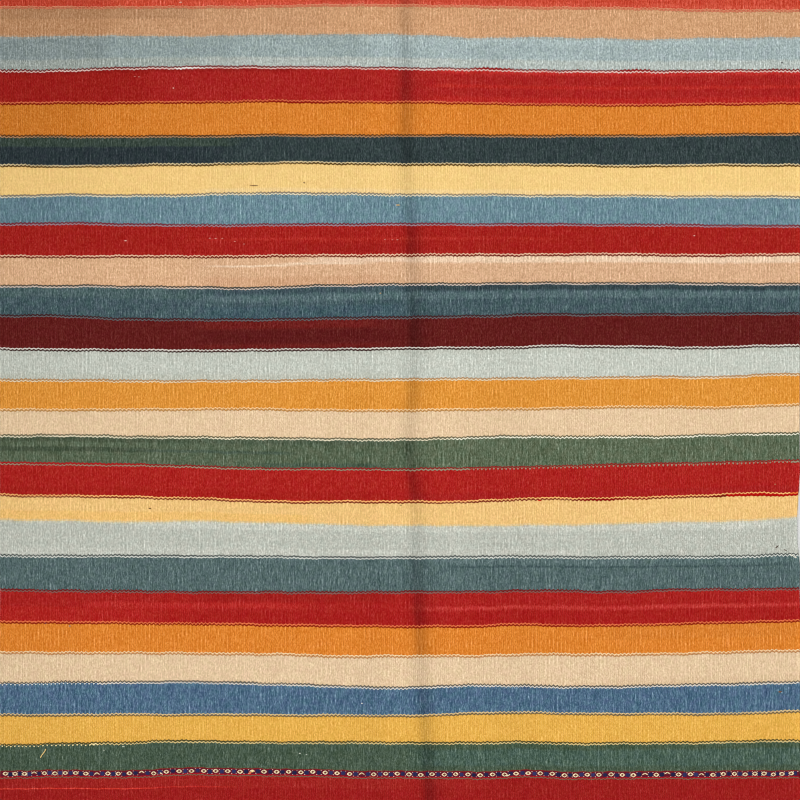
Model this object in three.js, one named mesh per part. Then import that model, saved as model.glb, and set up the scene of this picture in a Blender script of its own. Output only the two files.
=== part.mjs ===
import * as THREE from 'three';

// A striped kilim lying flat, right side up: one weft-faced woven cloth, a cut length of a longer rug.
// Millimetres. +X runs across the rug, +Y towards its upper end and +Z up from the floor.
// "down" is a distance from the upper end, along the warp.

// Driving dimensions of the cloth
const rugLength = 1000;
const halfWidth = 480.5;
const clothThickness = 2.6;

// Where stripes meet, two thin wavy lines of hard-beaten yarn stand a little proud of the cloth, and so does
// the band of small diamonds
const wavyLines = { halfWidth: 2.4, rise: 0.5 };
const diamondBand = { halfWidth: 4.8, shoulder: 1.2, rise: 0.6 };

// The cut ends are beaten down to a thin rounded edge
const cutEnd = { height: 1.7, depth: 1.6 };

// The corded selvedge, from its outer side inwards: distance in, and height of the cloth there
const selvedge = [
  { inwards: 0, height: 1.7 },
  { inwards: 2.6, height: 3.3 },
  { inwards: 5.2, height: 2.3 },
  { inwards: 7.5, height: clothThickness },
];

// The crease left by folding the rug lengthwise: the line of its crest, from the upper end to the lower
const creaseLine = [
  // down, x
  [0, -8],
  [200, -7.5],
  [360, 1],
  [560, 6.5],
  [700, 4],
  [800, 10],
  [1000, 21],
];

// Height of the cloth's underside above the floor across the crease, from left to right of its crest. The
// cloth lies flat beyond both ends of the list.
const creaseSections = [
  { offset: -217, lift: 0 },
  { offset: -60, lift: 2.1 },
  { offset: -34, lift: 1.5 },
  { offset: 0, lift: 2.7 },
  { offset: 26, lift: 0 },
  { offset: 37, lift: 0 },
  { offset: 92, lift: 1.4 },
  { offset: 162, lift: 0 },
];
const stepsPerSection = 3;

// Columns of the flat cloth on both sides of the crease
const flatColumns = { leftInner: -245, rightInner: 205, outer: 458, count: 6 };

// The underside is flat apart from the crease, so it takes few points
const undersideColumnX = 440;

// Where neighbouring stripes meet, from the upper end to the lower: how far down the line lies at five
// stations, from the left selvedge to the right. It wanders as the weaver beat it.
const stationX = [-480, -240, 0, 240, 480];
const stripeLines = [
  // join, left, quarter, middle, threeQuarter, right
  ['wavy', 35.5, 35, 33, 38, 39.5],
  ['plain', 70.5, 68.5, 68, 72, 71],
  ['wavy', 111, 107, 108.5, 112, 111],
  ['wavy', 150.5, 149, 149, 152.5, 150],
  ['wavy', 190, 190, 189, 189.5, 187],
  ['wavy', 224.5, 224, 223.5, 224, 224.5],
  ['wavy', 262.5, 260.5, 260, 261.5, 263],
  ['wavy', 295.5, 296.5, 295.5, 296, 298],
  ['wavy', 334, 334, 332.5, 331.5, 331],
  ['wavy', 369.5, 371, 367.5, 366, 367.5],
  ['wavy', 405.5, 410, 407, 404, 402.5],
  ['wavy', 445, 447, 444.5, 442.5, 441],
  ['wavy', 482, 483.5, 481.5, 479.5, 475],
  ['wavy', 518, 517.5, 518.5, 515, 512],
  ['wavy', 550, 551, 553.5, 550, 546],
  ['wavy', 582, 585, 589, 584.5, 579],
  ['wavy', 620, 624, 628.5, 624.5, 618.5],
  ['plain', 650.5, 652, 657, 655.5, 646.5],
  ['wavy', 693, 693.5, 695.5, 695, 693],
  ['wavy', 734, 736.5, 736.5, 734.5, 732.5],
  ['wavy', 772, 774.5, 777.5, 776.5, 770.5],
  ['wavy', 809, 810, 813, 812, 806.5],
  ['wavy', 846, 844.5, 851, 850, 844.5],
  ['wavy', 884, 883.5, 884.5, 882.5, 879],
  ['wavy', 920, 916.5, 917, 918, 914.5],
  ['diamonds', 954.5, 951, 954.5, 955.5, 954],
];

// How far the selvedges draw in, from the upper end to the lower: distance down, left side, right side
const drawnIn = [
  // down, left, right
  [0, 0, 0],
  [180, 0.5, 0.3],
  [400, 0.2, 0.5],
  [560, 0.6, 1.3],
  [590, 0.7, 0.6],
  [608, 0.7, 1.8],
  [643, 0.5, 4.1],
  [684, 0.3, 3.7],
  [699, 0.4, 0.5],
  [735, 0.8, 1.2],
  [770, 0.6, 0.2],
  [890, 0.2, 0.5],
  [1000, 0, 0],
];

// Smooth curve through values at rising positions: a cubic between each two neighbours, with the slope at
// each position taken from the neighbours on both sides
function smoothCurve(positions, values, at) {
  const last = positions.length - 1;
  let i = 0;
  while (i < last - 1 && at > positions[i + 1]) i += 1;
  const slopeAt = (k) => {
    const before = Math.max(k - 1, 0);
    const after = Math.min(k + 1, last);
    return (values[after] - values[before]) / (positions[after] - positions[before]);
  };
  const span = positions[i + 1] - positions[i];
  const t = THREE.MathUtils.clamp((at - positions[i]) / span, 0, 1);
  const t2 = t * t;
  const t3 = t2 * t;
  return (2 * t3 - 3 * t2 + 1) * values[i] + (t3 - 2 * t2 + t) * span * slopeAt(i)
    + (3 * t2 - 2 * t3) * values[i + 1] + (t3 - t2) * span * slopeAt(i + 1);
}

function straightCurve(rows, column, at) {
  const next = Math.max(1, rows.findIndex((row) => row[0] >= at));
  const [from, to] = [rows[next - 1], rows[next]];
  return THREE.MathUtils.mapLinear(at, from[0], to[0], from[column], to[column]);
}

const leftEdge = (down) => -halfWidth + straightCurve(drawnIn, 1, down);
const rightEdge = (down) => halfWidth - straightCurve(drawnIn, 2, down);
const creaseX = (down) => (
  smoothCurve(creaseLine.map((row) => row[0]), creaseLine.map((row) => row[1]), down)
);

// Height of the cloth's underside above the floor: nothing, but for the crease
function creaseLift(x, down) {
  const offset = x - creaseX(down);
  const next = creaseSections.findIndex((section) => section.offset > offset);
  if (next <= 0) return 0;
  const [from, to] = [creaseSections[next - 1], creaseSections[next]];
  const share = (offset - from.offset) / (to.offset - from.offset);
  return THREE.MathUtils.lerp(from.lift, to.lift, 0.5 - 0.5 * Math.cos(Math.PI * share));
}

// Columns that follow the crease, some steps to each of its sections
function creaseColumns() {
  const offsets = [creaseSections[0].offset];
  for (let s = 1; s < creaseSections.length; s += 1) {
    const [from, to] = [creaseSections[s - 1].offset, creaseSections[s].offset];
    for (let i = 1; i <= stepsPerSection; i += 1) offsets.push(from + ((to - from) * i) / stepsPerSection);
  }
  return offsets.map((offset) => (down) => creaseX(down) + offset);
}

// Rows of the upper side: each is a line across the rug with a height above the plain cloth
function upperRows() {
  const rows = [];
  const straightRow = (down, rise) => rows.push({ downAt: () => down, rise });
  const lineRow = (downs, offset, rise) => {
    rows.push({ downAt: (x) => smoothCurve(stationX, downs, x) + offset, rise });
  };
  straightRow(0, cutEnd.height - clothThickness);
  straightRow(cutEnd.depth, 0);
  for (const [join, ...downs] of stripeLines) {
    if (join === 'plain') {
      lineRow(downs, 0, 0);
    } else if (join === 'wavy') {
      lineRow(downs, -wavyLines.halfWidth, 0);
      lineRow(downs, 0, wavyLines.rise);
      lineRow(downs, wavyLines.halfWidth, 0);
    } else {
      const crown = diamondBand.halfWidth - diamondBand.shoulder;
      lineRow(downs, -diamondBand.halfWidth, 0);
      lineRow(downs, -crown, diamondBand.rise);
      lineRow(downs, crown, diamondBand.rise);
      lineRow(downs, diamondBand.halfWidth, 0);
    }
  }
  straightRow(rugLength - cutEnd.depth, 0);
  straightRow(rugLength, cutEnd.height - clothThickness);
  return rows;
}

// Columns of the upper side, from left to right: each gives its place and the cloth's thickness there
function upperColumns() {
  const columns = [];
  const addFlat = (from, to) => {
    for (let i = 0; i < flatColumns.count; i += 1) {
      const x = THREE.MathUtils.lerp(from, to, i / (flatColumns.count - 1));
      columns.push({ xAt: () => x, height: clothThickness });
    }
  };
  for (const { inwards, height } of selvedge) {
    columns.push({ xAt: (down) => leftEdge(down) + inwards, height });
  }
  addFlat(-flatColumns.outer, flatColumns.leftInner);
  for (const xAt of creaseColumns()) columns.push({ xAt, height: clothThickness });
  addFlat(flatColumns.rightInner, flatColumns.outer);
  for (const { inwards, height } of [...selvedge].reverse()) {
    columns.push({ xAt: (down) => rightEdge(down) - inwards, height });
  }
  return columns;
}

// Collects points and triangles of one closed surface
class ClosedSurface {
  points = [];
  faces = [];

  addPoint(x, down, z) {
    this.points.push(x, rugLength / 2 - down, z);
    return this.points.length / 3 - 1;
  }

  // Triangles between two neighbouring lines with equally many points
  addStrip(lineA, lineB) {
    for (let i = 0; i < lineA.length - 1; i += 1) {
      this.faces.push(lineA[i], lineA[i + 1], lineB[i]);
      this.faces.push(lineA[i + 1], lineB[i + 1], lineB[i]);
    }
  }

  // Triangles between two lines with different numbers of points, both running the way that progress grows
  addSeam(lineA, lineB, progress) {
    let [a, b] = [0, 0];
    while (a < lineA.length - 1 || b < lineB.length - 1) {
      const endOfA = a === lineA.length - 1;
      const endOfB = b === lineB.length - 1;
      if (endOfB || (!endOfA && progress(lineA[a + 1]) <= progress(lineB[b + 1]))) {
        this.faces.push(lineA[a], lineA[a + 1], lineB[b]);
        a += 1;
      } else {
        this.faces.push(lineA[a], lineB[b + 1], lineB[b]);
        b += 1;
      }
    }
  }

  toGeometry() {
    const geometry = new THREE.BufferGeometry();
    geometry.setAttribute('position', new THREE.Float32BufferAttribute(this.points, 3));
    geometry.setIndex(this.faces);
    geometry.computeVertexNormals();
    return geometry;
  }
}

// Where a column and a row of the upper side cross
function crossing(column, row) {
  let down = row.downAt(0);
  let x = column.xAt(down);
  const settlingSteps = 3;
  for (let i = 0; i < settlingSteps; i += 1) {
    down = row.downAt(x);
    x = column.xAt(down);
  }
  return { x, down, z: creaseLift(x, down) + column.height + row.rise };
}

function rugGeometry() {
  const surface = new ClosedSurface();
  const rows = upperRows();
  const columns = upperColumns();

  // Upper side, one line of points for each column, from the upper end to the lower
  const upper = columns.map((column) => rows.map((row) => {
    const { x, down, z } = crossing(column, row);
    return surface.addPoint(x, down, z);
  }));
  for (let c = 0; c < upper.length - 1; c += 1) surface.addStrip(upper[c], upper[c + 1]);

  // Underside: both outer edges follow the selvedges, with a few straight columns between them
  const edgeBelow = (column) => rows.map((row) => {
    const { x, down } = crossing(column, row);
    return surface.addPoint(x, down, 0);
  });
  const leftBelow = edgeBelow(columns[0]);
  const rightBelow = edgeBelow(columns[columns.length - 1]);
  const innerPlaces = [() => -undersideColumnX, ...creaseColumns(), () => undersideColumnX];
  const innerBelow = innerPlaces.map((xAt) => creaseLine.map(([down]) => (
    surface.addPoint(xAt(down), down, creaseLift(xAt(down), down))
  )));
  const alongX = (index) => surface.points[3 * index];
  const alongDown = (index) => -surface.points[3 * index + 1];
  for (let c = 0; c < innerBelow.length - 1; c += 1) surface.addStrip(innerBelow[c + 1], innerBelow[c]);
  surface.addSeam(innerBelow[0], leftBelow, alongDown);
  surface.addSeam(rightBelow, innerBelow[innerBelow.length - 1], alongDown);

  // Walls: the two selvedges and the two cut ends
  surface.addStrip(leftBelow, upper[0]);
  surface.addStrip(upper[upper.length - 1], rightBelow);
  const below = [leftBelow, ...innerBelow, rightBelow];
  const first = (lines) => lines.map((line) => line[0]);
  const last = (lines) => lines.map((line) => line[line.length - 1]);
  surface.addSeam(first(upper), first(below), alongX);
  surface.addSeam(last(below), last(upper), alongX);
  return surface.toGeometry();
}

const wool = new THREE.MeshStandardMaterial({ color: 0x9e6647, roughness: 0.95, metalness: 0 });
const rug = new THREE.Mesh(rugGeometry(), wool);
rug.name = 'rug';

const kilim = new THREE.Group();
kilim.add(rug);

export default kilim;
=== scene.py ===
import math

import bpy
import numpy as np
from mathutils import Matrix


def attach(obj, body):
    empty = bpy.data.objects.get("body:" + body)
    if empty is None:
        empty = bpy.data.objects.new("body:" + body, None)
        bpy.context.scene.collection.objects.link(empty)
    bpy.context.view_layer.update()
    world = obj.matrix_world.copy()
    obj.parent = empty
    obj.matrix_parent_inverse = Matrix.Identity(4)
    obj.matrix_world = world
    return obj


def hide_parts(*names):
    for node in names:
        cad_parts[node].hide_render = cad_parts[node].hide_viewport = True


# A striped kilim lying flat, seen from straight above. Metres, +Y towards the rug's upper end.
# "down" is a distance from the upper end along the warp, and "x" a distance across the rug.

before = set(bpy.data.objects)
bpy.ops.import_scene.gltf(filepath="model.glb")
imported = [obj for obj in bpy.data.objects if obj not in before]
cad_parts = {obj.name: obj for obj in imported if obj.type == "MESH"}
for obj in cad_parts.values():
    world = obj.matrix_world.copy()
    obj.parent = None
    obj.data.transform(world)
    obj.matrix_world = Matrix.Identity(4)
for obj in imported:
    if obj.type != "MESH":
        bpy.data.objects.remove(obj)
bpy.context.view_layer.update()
mm = 0.001

view = {
    "middle": (0, -0.006),  # point of the rug under the camera
    "seen": 0.96,  # width of rug that fills the picture
    "lens": 135,
    "sensor": 36,
    "pixelFilter": 1.1,  # the photo is crisp down to its single pixels
}

studio = {
    "floorColour": (0.97, 0.97, 0.965),
    "floorSize": 16,
    "floorDepth": -0.1 * mm,
    "sky": 0.37,
    "keyFrom": (-1, 0.25, 0.62),
    "keyStrength": 2.4,
    "keySoftness": 24,  # degrees
    "fillAt": (0.24, -0.28, 3.2),
    "fillReach": 1.06,  # radius of the pool of light on the floor
    "fillBlend": 0.5,
    "fillPower": 137,
    "fillRadius": 0.3,
}

wool = {
    "roughness": (0.97, 0.82),  # in the grooves, and on the stitches
    "sheen": 0.03,
    "sheenRoughness": 0.6,
    "specular": 0.06,
    "stitchDepth": 0.28 * mm,
    "twistDepth": 0.12 * mm,
    "ribDome": 0.4,  # how much lower a stitch is beside its rib than on it
    "creaseShadeDepth": (0.34, 0.5),  # depth of the painted shade along the crease, less for pale wool
    "streaks": {"red": 0.3, "pale": 0.25, "dark": 1.0},  # share of long streaks in the yarn
    "bandSoftness": 0.05,
    "veil": 0.006,  # share of light that the surface of the wool reflects whatever its dye
}

# The cloth's form, in the same sizes as the solid that it replaces
rug = {
    "length": 1000 * mm,
    "halfWidth": 480.5 * mm,
    "thickness": 2.6 * mm,
    "ribs": 382,  # warp ribs between the two selvedges
    "ribColumns": 3,
    "crest": 0.035 * mm,  # rib crest above the thickness
    "groove": 0.055 * mm,  # groove between two ribs below it
    "ribJitter": 0.2,  # share by which ribs differ in height
    "ribTurns": 1.2,  # share by which every other rib stands higher, in patches that change sides
    "ribLimits": (-0.4, 2.6),  # lowest and highest share of a crest
    "ribShift": 0.10 * mm,  # seeded shift of each rib to the side
    "ribDrift": [(140 * mm, 0.9 * mm), (75 * mm, 0.5 * mm), (45 * mm, 0.3 * mm)],  # slow lean: length, reach
    "steadyEdge": 9 * mm,  # how far in from a selvedge the ribs start to lean
    "steadyReach": 25 * mm,
    "stitch": 1.5 * mm,  # how much of the warp one weft stitch covers
    "rowsInside": 2,  # rows of points inside each stripe
    "waviness": 0.6 * mm,  # fine wander of the stripes' edges
    "wanderLengths": (150 * mm, 70 * mm, 34 * mm, 16 * mm),
    "unevenness": 0.16 * mm,
    "unevenLengths": (210 * mm, 130 * mm, 85 * mm, 60 * mm),
    "patchLengths": (90 * mm, 55 * mm, 38 * mm, 27 * mm, 21 * mm),
    "endHeight": 1.7 * mm,
    "endDepth": 1.6 * mm,
    "endShare": 0.04,  # share of a cut stripe that its thin end takes up
    "saw": 0.3 * mm,  # how far the ribs interlock where two yarns simply meet
    "toothShares": (0.4, 1.2),
    "drawInReach": 60 * mm,  # how far in from a selvedge its draw-in is felt
    "undersideX": 440 * mm,
    "seed": 7,
}

# Selvedge cord, from its outer side inwards, in mm: distance in, height
selvedge = [(0, 2.45), (0.9, 2.6), (2.6, 2.8), (4.3, 2.7), (5.2, 2.52), (6.2, 2.55), (7.5, 2.6)]

# Crest of the lengthwise crease, in mm: down, x
creaseLine = [
    (0, -8), (200, -7.5), (360, 1), (470, 2), (520, -1), (567, -4), (605, 1), (650, 5), (700, 4), (800, 10),
    (1000, 21),
]

# Lift of the cloth off the floor across the crease, in mm: offset from the crest, lift
creaseSections = [(-217, 0), (-60, 2.1), (-34, 1.5), (0, 2.7), (26, 0), (37, 0), (92, 1.4), (162, 0)]
undersideSteps = 3

# How far the selvedges draw in, in mm: down, left, right
drawnIn = [
    (0, 0, 0), (180, 0.5, 0.3), (400, 0.2, 0.5), (560, 0.6, 1.3), (590, 0.7, 0.6), (608, 0.7, 1.8),
    (643, 0.5, 4.1), (684, 0.3, 3.7), (699, 0.4, 0.5), (735, 0.8, 1.2), (770, 0.6, 0.2), (890, 0.2, 0.5),
    (1000, 0, 0),
]

# Where neighbouring stripes meet, in mm: how they join, then how far down the line lies at five stations
stationX = [-480, -240, 0, 240, 480]
stripeLines = [
    ("wavy", 35.5, 35, 33, 38, 39.5),
    ("plain", 70.5, 68.5, 68, 72, 71),
    ("wavy", 111, 107, 108.5, 112, 111),
    ("wavy", 150.5, 149, 149, 152.5, 150),
    ("wavy", 190, 190, 189, 189.5, 187),
    ("wavy", 224.5, 224, 223.5, 224, 224.5),
    ("wavy", 262.5, 260.5, 260, 261.5, 263),
    ("wavy", 295.5, 296.5, 295.5, 296, 298),
    ("wavy", 334, 334, 332.5, 331.5, 331),
    ("wavy", 369.5, 371, 367.5, 366, 367.5),
    ("wavy", 405.5, 410, 407, 404, 402.5),
    ("wavy", 445, 447, 444.5, 442.5, 441),
    ("wavy", 482, 483.5, 481.5, 479.5, 475),
    ("wavy", 518, 517.5, 518.5, 515, 512),
    ("wavy", 550, 551, 553.5, 550, 546),
    ("wavy", 582, 585, 589, 584.5, 579),
    ("wavy", 620, 624, 628.5, 624.5, 618.5),
    ("plain", 650.5, 652, 657, 655.5, 646.5),
    ("wavy", 693, 693.5, 695.5, 695, 693),
    ("wavy", 734, 736.5, 736.5, 734.5, 732.5),
    ("wavy", 772, 774.5, 777.5, 776.5, 770.5),
    ("wavy", 809, 810, 813, 812, 806.5),
    ("wavy", 846, 844.5, 851, 850, 844.5),
    ("wavy", 884, 883.5, 884.5, 882.5, 879),
    ("wavy", 920, 916.5, 917, 918, 914.5),
    ("diamonds", 954.5, 951, 954.5, 955.5, 954),
]

# Where a line leaves its smooth course: line number, x of the middle and reach in mm, how far it sags there
lineBumps = [
    (0, 250, 150, -1.8), (1, 96, 70, 2.6), (1, 300, 60, 2.2), (1, -240, 90, 1.4), (2, -410, 100, 1.4),
    (3, -170, 50, -1.6), (4, -168, 60, -1.6), (5, -400, 120, 1.6), (5, -130, 150, -2.0), (5, 270, 130, 1.4),
    (6, -410, 80, -1.8), (6, -150, 150, -1.9), (7, -385, 80, -1.8), (8, 390, 130, 1.6), (9, -170, 80, 1.8),
    (9, -370, 60, -1.3), (10, -410, 90, -1.6), (10, 168, 60, -1.7), (11, 365, 90, 2.1), (11, 185, 60, -1.6),
    (12, 370, 80, 1.8), (13, 385, 80, 1.9), (13, -190, 80, -1.3), (14, -410, 120, -1.8), (14, 115, 120, -2.2),
    (14, 312, 60, 1.5), (15, -180, 150, 1.8), (16, -160, 110, 2.1), (16, 160, 100, -1.5), (16, 410, 70, -1.9),
    (17, 410, 80, 2.4), (17, -340, 90, 1.8), (18, 110, 160, -1.4), (18, 456, 50, -1.5), (19, 260, 90, 1.8),
    (20, 145, 65, -2.6), (21, 168, 90, -2.0), (21, -72, 50, 1.4), (22, 105, 110, -3.6), (23, 125, 110, -2.9),
    (23, 380, 150, 2.0), (24, -275, 70, -1.8), (24, 150, 70, -1.7), (25, -340, 80, 2.4), (25, 150, 60, -1.7),
]

# The dyed wool of each stripe, from the upper end to the lower: name, kind, colour (0 to 255, as seen on a
# screen), how strongly stitches, ribs and picks differ in tone (for the ribs also how strong the painted light
# on their crests and the painted shade in their grooves are), how much the hue wanders, and its bands.
# A band is a streak of another shade: from and to as shares of the way down the stripe, left and right in mm,
# colour, strength and, if not the usual one, the softness of its sides.
yarnRows = [
    ("brick", "red", (208, 77, 56), 0.5, 0.24, 0.08, 0.001, [
        (-0.1, 1.1, -345, -105, (218, 85, 61), 0.9), (-0.1, 1.1, -490, -345, (201, 74, 53), 0.9),
        (0.86, 1, -240, 490, (216, 92, 70), 0.7),
    ]),
    # sand: the three bands at the left, darker towards the left end and the upper corner, are painted shade of
    # the dimmer light in the upper left corner
    ("sand", "pale", (215, 164, 121), 0.34, 0.143, 0.03, 0.001, [
        (-0.1, 1.1, -490, -340, (197, 146, 105), 0.95), (-0.1, 1.1, -340, -90, (209, 159, 118), 0.95),
        (0, 0.4, -490, -250, (176, 130, 94), 0.45), (0.94, 1.1, -490, 490, (190, 164, 138), 0.5, 0.03),
    ]),
    # duckEgg: the first three bands, darker step by step towards the left end, are painted shade of the dimmer
    # light in the upper left corner
    ("duckEgg", "pale", (165, 181, 181), 0.43, 0.144, 0.05, 0.02, [
        (-0.1, 1.1, -490, -340, (142, 155, 154), 1), (-0.1, 1.1, -340, -190, (151, 166, 165), 0.95),
        (-0.1, 1.1, -190, -40, (156, 171, 170), 0.9), (0.68, 1.1, -490, -240, (176, 182, 172), 0.6),
        (0.68, 1.1, -240, 490, (190, 196, 188), 0.7), (-0.1, 0.22, -40, 490, (178, 193, 192), 0.5),
        (-0.1, 0.06, -490, 490, (172, 168, 156), 0.55, 0.03),
    ]),
    ("madder", "red", (172, 40, 37), 0.62, 0.2, 0.05, 0.001, [
        (-0.1, 1.1, -490, -300, (163, 36, 31), 0.9), (-0.1, 0.13, 50, 490, (198, 52, 46), 0.7),
        (0.45, 0.54, 40, 490, (192, 47, 40), 0.7), (0.8, 1.1, 40, 490, (188, 45, 39), 0.6),
        (-0.1, 0.12, -490, -120, (146, 31, 27), 0.7),
    ]),
    ("orange", "pale", (220, 131, 50), 0.33, 0.147, 0.02, 0.001, [
        (-0.1, 1.1, -490, -370, (210, 124, 46), 0.9),
    ]),
    ("ink", "dark", (54, 66, 67), 0.46, 0.213, 0.04, 0.02, [
        (-0.1, 0.36, -490, -200, (62, 76, 66), 0.8), (0.36, 1.1, -490, -210, (46, 55, 60), 0.7),
    ]),
    ("straw", "pale", (243, 205, 132), 0.15, 0.065, 0.02, 0.003, [
        (-0.1, 1.1, -490, -230, (249, 208, 133), 0.8), (0.82, 1.1, -240, 490, (245, 214, 156), 0.6),
    ]),
    ("denim", "dark", (108, 138, 149), 0.29, 0.203, 0.02, 0.014, [
        (-0.1, 1.1, -490, -370, (102, 131, 142), 0.9),
    ]),
    ("crimson", "red", (165, 37, 32), 0.63, 0.252, 0.07, 0.001, [
        (0.42, 0.5, -240, 180, (184, 50, 42), 0.6, 0.03), (0.6, 0.95, -130, 20, (156, 34, 30), 0.6),
    ]),
    ("blush", "pale", (217, 174, 137), 0.3, 0.126, 0.03, 0.002, [
        (-0.1, 1.1, -490, -250, (223, 178, 138), 0.85), (0.03, 0.27, 20, 490, (239, 210, 180), 0.8),
        (0.06, 0.22, -110, 20, (238, 208, 180), 0.7), (0.28, 0.34, -225, -130, (242, 214, 184), 0.7, 0.02),
        (0.22, 0.29, -140, -40, (242, 214, 184), 0.7, 0.02), (0.66, 1.1, -240, -10, (208, 161, 124), 0.7),
    ]),
    ("slate", "dark", (71, 91, 96), 0.43, 0.234, 0.05, 0.02, [
        (-0.1, 0.2, -230, 20, (66, 83, 89), 0.8), (-0.1, 0.2, 20, 490, (53, 65, 69), 0.8),
        (0.24, 0.45, -240, 490, (88, 109, 112), 0.8), (-0.1, 0.36, -490, -240, (81, 102, 102), 0.7),
        (0.6, 1.1, -240, 0, (66, 89, 98), 0.7),
    ]),
    ("wine", "red", (98, 33, 31), 0.73, 0.27, 0.08, 0.002, [
        (0.04, 0.3, -240, -30, (114, 35, 32), 0.7), (0.36, 0.75, -240, 0, (91, 29, 29), 0.7),
        (0.82, 0.9, -240, -20, (114, 35, 32), 0.6),
    ]),
    ("mist", "pale", (194, 198, 187), 0.29, 0.126, 0.03, 0.02, [
        (0.78, 1.1, -490, -10, (189, 191, 177), 0.7), (-0.1, 1.1, 20, 490, (198, 202, 191), 0.8),
        (-0.1, 0.2, -490, 490, (190, 193, 181), 0.6),
    ]),
    ("amber", "pale", (222, 147, 59), 0.3, 0.15, 0.02, 0.001, []),
    ("oat", "pale", (228, 198, 160), 0.22, 0.078, 0.02, 0.004, []),
    ("moss", "dark", (88, 101, 80), 0.38, 0.234, 0.05, 0.02, [
        (-0.1, 0.2, -490, -250, (73, 84, 66), 0.8), (-0.1, 0.2, -250, -12, (81, 93, 75), 0.8),
        (0.38, 0.55, -490, -300, (67, 79, 62), 0.8, 0.03),
        (0.43, 0.53, -310, -130, (74, 90, 76), 0.8, 0.03), (0.82, 0.95, -170, -20, (70, 88, 74), 0.7, 0.03),
        (-0.1, 1.1, 20, 490, (94, 107, 84), 0.8),
    ]),
    ("scarlet", "red", (171, 38, 34), 0.63, 0.24, 0.02, 0.001, [
        (0.75, 1.1, 10, 490, (165, 38, 36), 0.7), (0.7, 1.1, -490, -10, (164, 35, 30), 0.7),
    ]),
    ("butter", "pale", (237, 194, 125), 0.22, 0.098, 0.01, 0.003, [
        (0.58, 0.92, -490, -110, (238, 190, 111), 0.8), (0.93, 1.1, -490, 490, (210, 194, 156), 0.6, 0.03),
    ]),
    ("pewter", "pale", (187, 190, 179), 0.32, 0.119, 0.05, 0.03, [
        (0.75, 1.1, -490, 230, (195, 197, 186), 0.7), (-0.1, 0.2, -320, 450, (200, 202, 190), 0.8),
        (-0.1, 0.05, -490, 490, (206, 197, 168), 0.5, 0.03),
    ]),
    ("lagoon", "dark", (85, 105, 105), 0.39, 0.238, 0.03, 0.02, [
        (-0.1, 0.2, 20, 490, (91, 113, 112), 0.6), (0.08, 0.2, 40, 300, (94, 113, 113), 0.7),
        (0.25, 0.31, 60, 460, (68, 86, 88), 0.8, 0.02),
    ]),
    ("ruby", "red", (167, 37, 34), 0.58, 0.272, 0.05, 0.001, [
        (0.5, 1.1, -490, -240, (178, 40, 35), 0.7), (-0.1, 0.28, -240, -10, (155, 34, 31), 0.7),
        (0.43, 0.53, 20, 490, (198, 62, 58), 0.7), (0.33, 0.5, -380, -120, (188, 48, 44), 0.6),
        (0.58, 1.1, -300, 490, (164, 34, 31), 0.6),
    ]),
    ("marigold", "pale", (220, 130, 49), 0.32, 0.192, 0.02, 0.001, [
        (-0.1, 0.5, 240, 490, (214, 127, 50), 0.8),
    ]),
    ("ecru", "pale", (226, 197, 160), 0.24, 0.098, 0.01, 0.006, [
        (0.75, 1.1, 240, 490, (219, 190, 153), 0.7),
    ]),
    ("cobalt", "dark", (79, 107, 131), 0.43, 0.27, 0.02, 0.014, []),
    ("honey", "pale", (229, 175, 80), 0.25, 0.105, 0.01, 0.002, []),
    ("forest", "dark", (72, 89, 73), 0.43, 0.247, 0.04, 0.02, [
        (-0.1, 0.2, 20, 490, (71, 88, 68), 0.8), (0.22, 0.72, 20, 490, (75, 98, 87), 0.75),
        (0.86, 1.1, -490, 490, (84, 93, 68), 0.7),
    ]),
    ("cherry", "red", (155, 34, 32), 0.59, 0.252, 0.04, 0.001, [
        (-0.1, 0.39, -490, 100, (160, 40, 36), 0.7, 0.03),
        (0.38, 0.405, -490, -295, (222, 66, 54), 0.9, 0.01),
        (0.37, 0.395, -300, -205, (202, 54, 46), 0.6, 0.01),
    ]),
]
yarnParts = ("name", "kind", "colour", "mottle", "ribs", "picks", "heather", "bands")
stripeYarns = [dict(zip(yarnParts, row)) for row in yarnRows]


# Curves and heights of the cloth

def smoothCurve(places, values, at):
    # Cubic through the values, with slopes taken from the neighbours on both sides
    places, values = np.asarray(places, float), np.asarray(values, float)
    last = len(places) - 1
    order = np.arange(last + 1)
    before, after = np.maximum(order - 1, 0), np.minimum(order + 1, last)
    slopes = (values[after] - values[before]) / (places[after] - places[before])
    i = np.clip(np.searchsorted(places, at, side="left") - 1, 0, last - 1)
    span = places[i + 1] - places[i]
    t = np.clip((at - places[i]) / span, 0, 1)
    return (
        (2 * t**3 - 3 * t**2 + 1) * values[i] + (t**3 - 2 * t**2 + t) * span * slopes[i]
        + (3 * t**2 - 2 * t**3) * values[i + 1] + (t**3 - t**2) * span * slopes[i + 1]
    )


def tableColumns(rows):
    return np.array(rows, float).T * mm


def creaseX(down):
    return smoothCurve(*tableColumns(creaseLine), down)


def creaseLift(x, down):
    offsets, lifts = tableColumns(creaseSections)
    offset = x - creaseX(down)
    after = np.clip(np.searchsorted(offsets, offset, side="right"), 1, len(offsets) - 1)
    share = np.clip((offset - offsets[after - 1]) / (offsets[after] - offsets[after - 1]), 0, 1)
    eased = 0.5 - 0.5 * np.cos(math.pi * share)
    return lifts[after - 1] + (lifts[after] - lifts[after - 1]) * eased


def edgeDraw(down):
    downs, left, right = tableColumns(drawnIn)
    return np.interp(down, downs, left), np.interp(down, downs, right)


def wander(number, x):
    # Fine wander of one line: a few waves of seeded lengths and phases
    draw = np.random.default_rng(rug["seed"] * 100 + number)
    total = np.zeros_like(x)
    for length in rug["wanderLengths"]:
        phase, size = draw.uniform(0, 2 * math.pi), draw.uniform(0.5, 1)
        total = total + size * np.sin(2 * math.pi * x / (length * draw.uniform(0.8, 1.25)) + phase)
    return rug["waviness"] * 0.5 * total


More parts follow.
